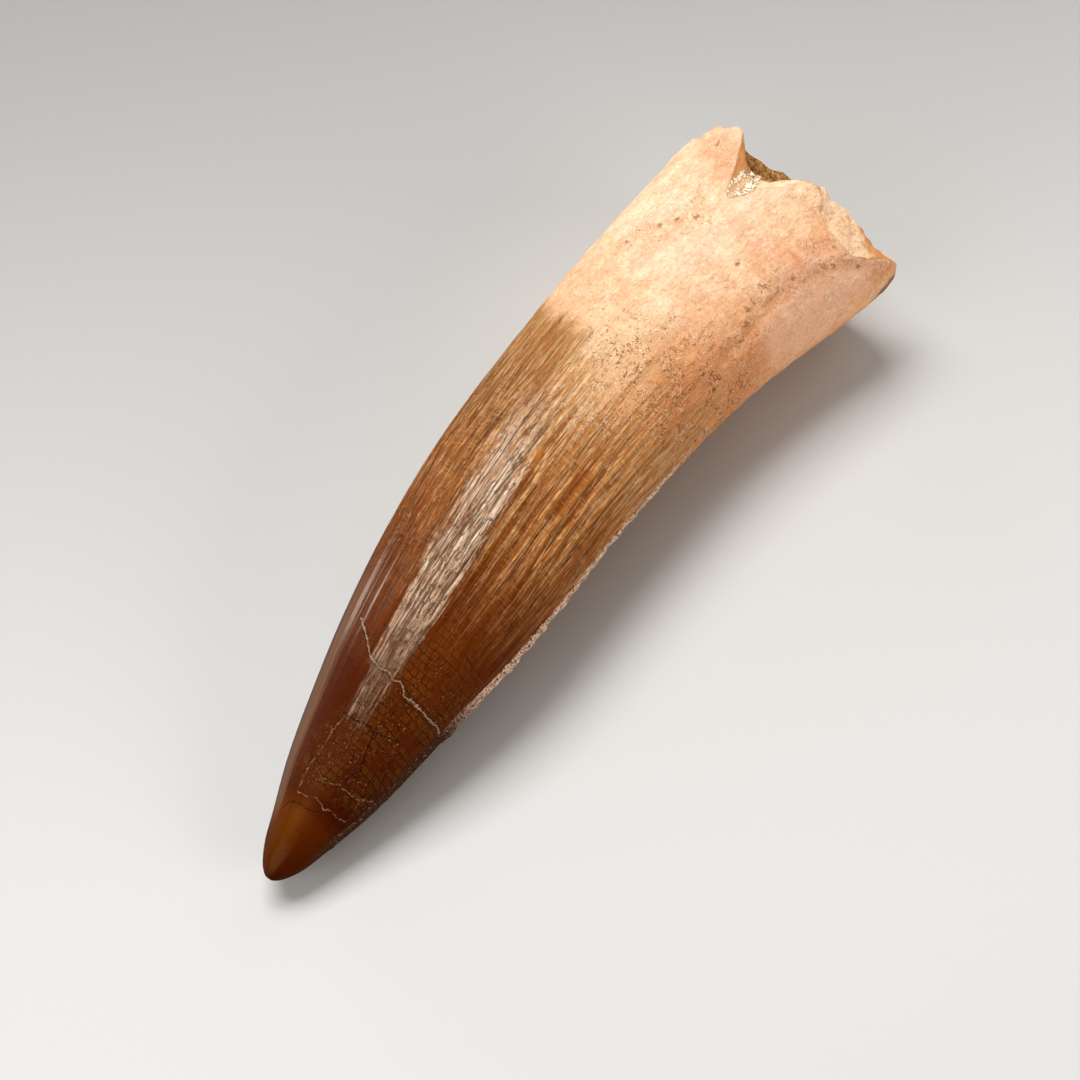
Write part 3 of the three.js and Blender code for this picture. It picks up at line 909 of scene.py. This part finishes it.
# Dark and pale grains where the crown passes into the root, and a deeper tone on the back.
granular = tooth.rise(crown, -10, -2) * tooth.rise(crown, 14, 4) * tooth.rise(front, 0.45, -0.1)
granular = granular * tooth.rise(patchy_2, 0.40, 0.56)
dark_grains = tooth.rise(speckle_2 * 0.45 + fine * 0.55, 0.525, 0.575) * granular
pale_grains = tooth.rise(speckle_3 * 0.45 + fine_2 * 0.55, 0.54, 0.60) * granular
colour = tooth.blend(pale_grains * 0.5, colour, (0.98, 0.80, 0.56))
colour = tooth.blend(dark_grains * 0.85, colour, (0.54, 0.33, 0.16), "MULTIPLY")
end_of_crown = tooth.rise(crown, -12, -4) * tooth.rise(crown, 16, 6) * back_side
colour = tooth.blend(end_of_crown * 0.7, colour, (0.86, 0.75, 0.66), "MULTIPLY")

# The keel is a strip of small pink and cream grains with dark gaps, and dark near the point.
near_point = tooth.rise(x_along, 26, 18)
keel_edge = keel + (speckle - 0.5) * 0.7 - near_point * 0.4 + 0.14
keel_strip = tooth.rise(keel_edge, 0.62, 0.45) * tooth.rise(crown, 2, 10)
keel_strip = keel_strip * tooth.rise(x_along, 3, 6)
keel_grains = tooth.node(
    "ShaderNodeValToRGB",
    {"stops": [[0.38, (0.16, 0.065, 0.03)], [0.46, (0.72, 0.40, 0.26)],
               [0.58, (1.0, 0.78, 0.62)]]},
    {0: fine},
)
keel_colour = tooth.blend(near_point * 0.97, keel_grains, (0.036, 0.010, 0.002))
keel_crumbs = tooth.rise(fine_2 + (speckle_2 - 0.5) * 0.5 - near_point * 0.05, 0.60, 0.64)
crumb_strength = near_point * -0.35 + 0.85
keel_colour = tooth.blend(keel_crumbs * crumb_strength, keel_colour, (0.74, 0.44, 0.25))
colour = tooth.blend(keel_strip * 0.9, colour, keel_colour)

# The broken end: peach dentine with white crystals in the notch and brown sediment inside.
broken = tooth.rise(wall, 0.004, 0.03)
fracture = tooth.node(
    "ShaderNodeValToRGB",
    {"stops": [[0.34, (0.74, 0.40, 0.20)], [0.44, (0.88, 0.57, 0.35)],
               [0.58, (0.95, 0.70, 0.48)]]},
    {0: speckle * 0.5 + patchy * 0.5},
)
sediment = tooth.node(
    "ShaderNodeValToRGB",
    {"stops": [[0.38, (0.13, 0.050, 0.012)], [0.52, (0.36, 0.175, 0.055)],
               [0.66, (0.58, 0.34, 0.14)]]},
    {0: fine * 0.5 + speckle * 0.5},
)
inner_wall = tooth.rise(wall + (speckle - 0.5) * 0.4 + (patchy_3 - 0.5) * 1.1, 0.62, 0.84)
fracture = tooth.blend(inner_wall, fracture, sediment)
rusty = tooth.rise(stained + (speckle - 0.5) * 0.8, 0.05, 0.35)
fracture = tooth.blend(rusty * 0.9, fracture, (0.58, 0.24, 0.07))
colour = tooth.blend(broken, colour, fracture)
crystal_mask = tooth.rise(crystals + (fine_2 - 0.5) * 2.2 + (speckle - 0.5) * 2.6, 0.50, 0.70)
crystal_mask = crystal_mask * tooth.rise(crystals, 0.15, 0.4) * broken
colour = tooth.blend(tooth.rise(crystals, 0.2, 0.5) * broken * 0.8, colour, (0.56, 0.28, 0.10))
colour = tooth.blend(crystal_mask, colour, (0.98, 0.86, 0.68))
colour = tooth.blend(tooth.rise(cavity, 0.0, 0.05), colour, sediment)

# Gloss: silky on the crown, smoothest on the point's cap, duller on the streak, and dull on
# the root, the broken end and the keel.
enamel_rough = tooth.rise(x_along, 4, 12) * 0.08 + 0.24 + (striae - 0.5) * 0.2
enamel_rough = enamel_rough + wear_and_sheen * 0.2 + tooth.rise(x_along, 30, 52) * 0.14
roughness = enamel_rough * on_crown + (0.72 + (speckle - 0.5) * 0.2) * (1 - on_crown)
roughness = tooth.maths("MAXIMUM", roughness, tooth.maths("MAXIMUM", broken, keel_strip) * 0.85)

# The front side is polished near the point.
polish = tooth.rise(front, 0.35, 0.62) * tooth.rise(x_along, 30, 20) * on_crown

# Fine relief, as heights in millimetres. Lines too thin for a relief of their own have none.
on_root = 1 - on_crown
height = (striae_2 * 0.10 + thread * 0.05 - dark_threads * 0.04) * tooth.rise(x_along, 12, 30)
height = height + pale_threads * 0.03 + (thread_3 * 0.05 - worn_lines * 0.05) * wear_and_sheen
height = height + (crest * 0.05 - deepest * 0.06) * fluted
height = height - blocks * crazed * 0.07 + crumbs * 0.05
height = (height - dark_cracks * 0.08 - fine_cracks * 0.05 - main_crack * 0.07 + 0.07) * on_crown
root_height = patchy_2 * 0.34 + speckle * 0.05 + fine * 0.022 + thread * 0.05
root_height = root_height + tooth.rise(patchy_3, 0.50, 0.52) * 0.04
root_height = root_height - all_pits * 0.06 - flecks * 0.03
height = height + root_height * on_root + pale_grains * 0.02 - dark_grains * 0.02
height = height + keel_strip * fine * 0.25 + crystal_mask * 0.15
height = height + broken * (speckle * 0.14 + fine * 0.06)
bumped = tooth.node(
    "ShaderNodeBump", {}, {"Strength": 1.0, "Distance": MM, "Height": height}
)
surface = tooth.node(
    "ShaderNodeBsdfPrincipled", {},
    {"Base Color": colour, "Roughness": roughness, "Normal": bumped, "IOR": 1.5,
     "Specular IOR Level": 0.12, "Specular Tint": (1.0, 0.72, 0.42, 1.0),
     "Coat Weight": polish, "Coat Roughness": 0.2},
)
tooth.node("ShaderNodeOutputMaterial", {}, {"Surface": surface})

tooth_mesh.materials.append(tooth.material)
tooth_piece = bpy.data.objects.new("fossil_tooth", tooth_mesh)
bpy.context.scene.collection.objects.link(tooth_piece)
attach(tooth_piece, "root")
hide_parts("tooth")

# The floor: a plain pale sheet under the tooth, wide enough to fill every view, with a painted
# shade that darkens it past the root and the front edge.
FLOOR_HALF = 1.5
LIGHT_PAPER, SHADED_PAPER = (0.655, 0.66, 0.66), (0.25, 0.252, 0.25)
SHADED_SIDE = (0.66, 0.75, 0)
floor_mesh = bpy.data.meshes.new("floor")
floor_mesh.from_pydata(
    [(-FLOOR_HALF, -FLOOR_HALF, 0), (FLOOR_HALF, -FLOOR_HALF, 0),
     (FLOOR_HALF, FLOOR_HALF, 0), (-FLOOR_HALF, FLOOR_HALF, 0)],
    [], [(0, 1, 2, 3)],
)
paper = Finish("pale_paper")
paper_place = paper.node("ShaderNodeTexCoord", output="Object")
paper_shade = paper.node(
    "ShaderNodeVectorMath", {"operation": "DOT_PRODUCT"}, {0: paper_place, 1: SHADED_SIDE},
    "Value",
)
paper_colour = paper.blend(paper.rise(paper_shade, -0.05, 0.12), LIGHT_PAPER, SHADED_PAPER)
paper_surface = paper.node(
    "ShaderNodeBsdfPrincipled", {}, {"Base Color": paper_colour, "Roughness": 0.8}
)
paper.node("ShaderNodeOutputMaterial", {}, {"Surface": paper_surface})
floor_mesh.materials.append(paper.material)
floor = bpy.data.objects.new("floor", floor_mesh)
bpy.context.scene.collection.objects.link(floor)
floor.visible_glossy = False

# The light: a soft window high over the front side, which lays the sheen along the top of the
# crown, wide fills past the point, from the back side and off the broken end, a low strip
# along the front edge, and a pale room.
ROOM_COLOUR = (1.0, 0.97, 0.94, 1)
ROOM_STRENGTH = 0.07
room = bpy.data.worlds.new("room")
bpy.context.scene.world = room
room.use_nodes = True
room_light = room.node_tree.nodes["Background"]
room_light.inputs["Color"].default_value = ROOM_COLOUR
room_light.inputs["Strength"].default_value = ROOM_STRENGTH


def soft_light(name, towards, distance, width, height, power, colour, glossy=True):
    """An area light at a distance in metres in a direction from the tooth, turned to face it,
    with its power in watts. Where it isn't glossy, it isn't mirrored."""
    lamp = bpy.data.lights.new(name, "AREA")
    lamp.shape = "RECTANGLE"
    lamp.size, lamp.size_y = width, height
    lamp.energy = power
    lamp.color = colour
    holder = bpy.data.objects.new(name, lamp)
    holder.location = Vector(towards).normalized() * distance
    holder.rotation_euler = holder.location.to_track_quat("Z", "Y").to_euler()
    holder.visible_glossy = glossy
    bpy.context.scene.collection.objects.link(holder)


soft_light("window", (0.20, 0.46, 0.86), 0.9, 0.75, 0.38, 9.3, (1.0, 0.985, 0.96))
soft_light("left_fill", (-0.75, 0.20, 0.60), 1.0, 0.7, 0.7, 3, (1.0, 0.99, 0.98))
soft_light("right_fill", (0.15, -0.88, 0.34), 1.0, 0.7, 0.5, 5.0, (1.0, 0.90, 0.80), False)
soft_light("rim", (0.22, 0.95, 0.10), 0.9, 0.6, 0.16, 3.6, (1.0, 0.94, 0.84))
soft_light("end_fill", (0.90, 0.10, 0.42), 1.0, 0.6, 0.6, 1.6, (1.0, 0.96, 0.92), False)

# The camera: over the point's back side, looking down along the tooth.
CAMERA_AZIMUTH, CAMERA_ELEVATION = math.radians(-54.2), math.radians(62)
CAMERA_DISTANCE = 223 * MM
CAMERA_TARGET = Vector((-1.7, -1.19, 6.0)) * MM
CAMERA_LENS = 80  # mm, on the camera's own 36 mm sensor
NEAREST_SEEN = 10 * MM
camera_data = bpy.data.cameras.new("camera")
camera_data.lens = CAMERA_LENS
camera_data.clip_start = NEAREST_SEEN
camera = bpy.data.objects.new("camera", camera_data)
flat_reach = math.cos(CAMERA_ELEVATION)
backwards = Vector(
    (
        math.sin(CAMERA_AZIMUTH) * flat_reach,
        -math.cos(CAMERA_AZIMUTH) * flat_reach,
        math.sin(CAMERA_ELEVATION),
    )
)
camera.location = CAMERA_TARGET + backwards * CAMERA_DISTANCE
camera.rotation_euler = backwards.to_track_quat("Z", "Y").to_euler()
bpy.context.scene.collection.objects.link(camera)
bpy.context.scene.camera = camera
bpy.context.scene.view_settings.view_transform = "Standard"
